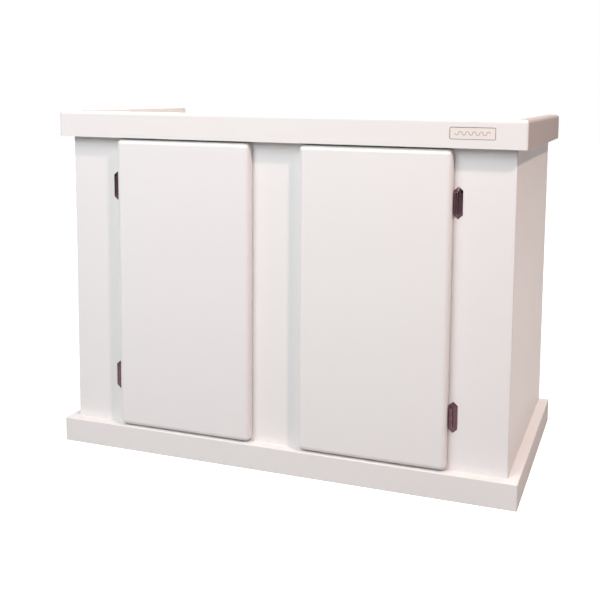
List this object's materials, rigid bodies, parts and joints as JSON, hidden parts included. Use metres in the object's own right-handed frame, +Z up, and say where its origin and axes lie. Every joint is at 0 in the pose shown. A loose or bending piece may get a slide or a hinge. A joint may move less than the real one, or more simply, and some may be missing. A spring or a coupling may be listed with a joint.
{
  "type": "aquarium stand cabinet",
  "caption": "Lacquered cabinet stand for an aquarium: raised rim round a recessed tank deck, plinth, face frame and a pair of overlay doors on self-closing hinges.",
  "frame": {"origin": "on the floor, at the middle of the stand's footprint", "axes": "+Z up, the doors face -Y, +X to the right of someone facing the doors; width along X"},
  "size_m": [0.954, 0.491, 0.7],
  "materials": {
    "white_lacquer": "white high-gloss lacquer on board",
    "white_trim": "white silk lacquer on board",
    "white_satin": "white satin lacquer on board",
    "birch_ply": "bare birch plywood",
    "beech": "bare fluted dowel",
    "black_nickel": "dark nickel plated, polished",
    "spring_steel": "oiled spring wire",
    "zinc_steel": "zinc plated",
    "plate_metal": "champagne, fine brushed",
    "clear_bumper": "soft clear"
  },
  "bodies": {
    "carcass": {"back_panel": "white_satin", "back_panel_screws": "zinc_steel", "bearer_screws": "zinc_steel", "bottom_panel": "white_satin", "bottom_rail": "white_lacquer", "centre_partition": "white_satin", "centre_stile": "white_lacquer", "cleat_screws": "zinc_steel", "deck_cleat_left": "birch_ply", "deck_cleat_right": "birch_ply", "deck_screws": "zinc_steel", "floor_bearer_centre": "birch_ply", "floor_bearer_left": "birch_ply", "floor_bearer_rear": "birch_ply", "floor_bearer_right": "birch_ply", "frame_dowels": "beech", "frame_hinge_screws": "black_nickel", "hinge_left_bottom_frame_wing": "black_nickel", "hinge_left_bottom_pin": "black_nickel", "hinge_left_bottom_spring": "spring_steel", "hinge_left_top_frame_wing": "black_nickel", "hinge_left_top_pin": "black_nickel", "hinge_left_top_spring": "spring_steel", "hinge_right_bottom_frame_wing": "black_nickel", "hinge_right_bottom_pin": "black_nickel", "hinge_right_bottom_spring": "spring_steel", "hinge_right_top_frame_wing": "black_nickel", "hinge_right_top_pin": "black_nickel", "hinge_right_top_spring": "spring_steel", "left_stile": "white_lacquer", "name_plate": "plate_metal", "plinth_front": "white_trim", "plinth_left": "white_trim", "plinth_right": "white_trim", "plinth_screws": "zinc_steel", "rear_rail_left": "birch_ply", "rear_rail_right": "birch_ply", "right_stile": "white_lacquer", "rim_dowels": "beech", "rim_front": "white_trim", "rim_left": "white_trim", "rim_right": "white_trim", "rim_screws": "zinc_steel", "side_panel_left": "white_lacquer", "side_panel_right": "white_lacquer", "tank_deck": "white_satin", "top_rail": "white_lacquer"},
    "left_door": {"door_bumpers_left": "clear_bumper", "door_hinge_screws_left": "zinc_steel", "door_left": "white_lacquer", "hinge_left_bottom_door_leaf": "black_nickel", "hinge_left_top_door_leaf": "black_nickel"},
    "right_door": {"door_bumpers_right": "clear_bumper", "door_hinge_screws_right": "zinc_steel", "door_right": "white_lacquer", "hinge_right_bottom_door_leaf": "black_nickel", "hinge_right_top_door_leaf": "black_nickel"}
  },
  "joints": [
    {"name": "left_door_hinge", "type": "hinge", "parent": "carcass", "child": "left_door", "pos_m": [-0.3488, -0.2288, 0.349], "axis": [0, 0, -1], "range_deg": [0, 105], "stiffness_Nm_per_rad": 0.08, "springref_deg": -28.65},
    {"name": "right_door_hinge", "type": "hinge", "parent": "carcass", "child": "right_door", "pos_m": [0.3488, -0.2288, 0.349], "axis": [0, 0, 1], "range_deg": [0, 105], "stiffness_Nm_per_rad": 0.08, "springref_deg": -28.65}
  ]
}
